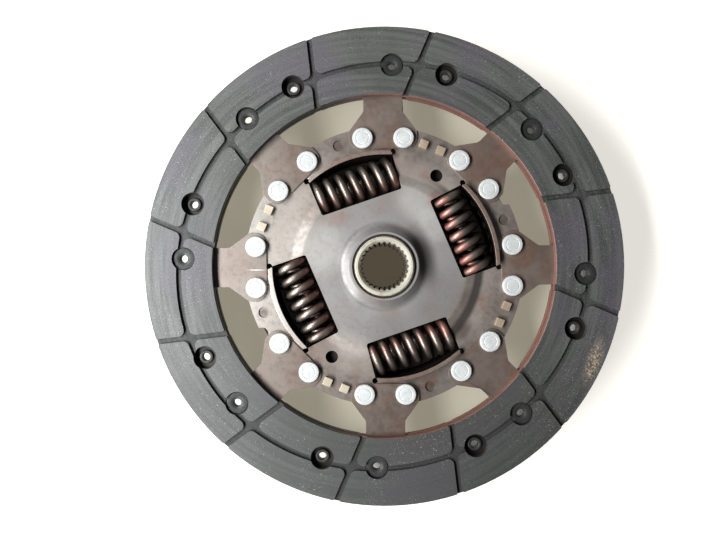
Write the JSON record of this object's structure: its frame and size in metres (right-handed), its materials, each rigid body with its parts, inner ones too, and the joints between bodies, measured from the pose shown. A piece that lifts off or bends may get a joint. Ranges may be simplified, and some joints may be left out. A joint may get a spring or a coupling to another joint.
{
  "type": "clutch disc",
  "caption": "Car clutch disc: grooved, riveted friction ring on spring-steel segments round a torsion damper with coil springs in windows and a splined hub; bare, light rust.",
  "frame": {"origin": "on the hub's axis, level with the hub's long rear end, on which the disc stands", "axes": "+Z along the hub's axis from its long rear end to its short front end, the side with the turned-up window lips and the segments' rivet heads; +X and +Y lie in the disc's plane, and a segment's neck points half a degree from +X"},
  "size_m": [0.228, 0.228, 0.027],
  "materials": {
    "friction_lining": "dry dark grey friction lining, worn in circles, with pale flecks and a little sand-brown dirt",
    "plate_steel": "bare pressed steel with a thin brown tint of rust",
    "segment_steel": "bare spring steel, dull, browned by light rust",
    "spacer_steel": "bare steel, tenon ends pale from riveting over",
    "spring_steel": "spring wire, brown and dull with bright worn crests",
    "rivet_metal": "pale dull plated rivet",
    "hub_steel": "machined steel, bright on the teeth, dark with grease between them",
    "flange_steel": "dark steel, hidden between the plates",
    "bush_plastic": "dark brown moulded bush",
    "washer_friction": "dark friction washer, hidden",
    "washer_steel": "plain steel, hidden"
  },
  "bodies": {
    "disc": {"front_guide_plate": "plate_steel", "rear_guide_plate": "plate_steel", "spacer_1": "spacer_steel", "spacer_2": "spacer_steel", "spacer_3": "spacer_steel", "spacer_4": "spacer_steel", "cushion_segment_1": "segment_steel", "cushion_segment_2": "segment_steel", "cushion_segment_3": "segment_steel", "cushion_segment_4": "segment_steel", "cushion_segment_5": "segment_steel", "cushion_segment_6": "segment_steel", "cushion_segment_7": "segment_steel", "cushion_segment_8": "segment_steel", "front_facing": "friction_lining", "rear_facing": "friction_lining", "front_facing_rivets": "rivet_metal", "rear_facing_rivets": "rivet_metal", "segment_rivets": "rivet_metal", "centring_bush": "bush_plastic", "friction_washer": "washer_friction", "thrust_washer": "washer_steel", "disc_spring": "washer_steel"},
    "hub": {"spline_hub": "hub_steel", "hub_flange": "flange_steel"},
    "springs": {"damper_spring_1": "spring_steel", "damper_spring_2": "spring_steel", "damper_spring_3": "spring_steel", "damper_spring_4": "spring_steel", "inner_spring_1": "spring_steel", "inner_spring_2": "spring_steel"}
  },
  "joints": [
    {"name": "damper_twist", "type": "hinge", "parent": "disc", "child": "hub", "pos_m": [0, 0, 0], "axis": [0, 0, 1], "range_deg": [-10, 10], "stiffness_Nm_per_rad": 20, "deforming": ["damper_spring_1", "damper_spring_2", "damper_spring_3", "damper_spring_4", "inner_spring_1", "inner_spring_2"]},
    {"name": "springs_follow", "type": "hinge", "parent": "disc", "child": "springs", "pos_m": [0, 0, 0], "axis": [0, 0, 1], "range_deg": [-5, 5]}
  ],
  "couplings": [
    {"joint": "springs_follow", "follows": "damper_twist", "ratio": 0.5}
  ]
}
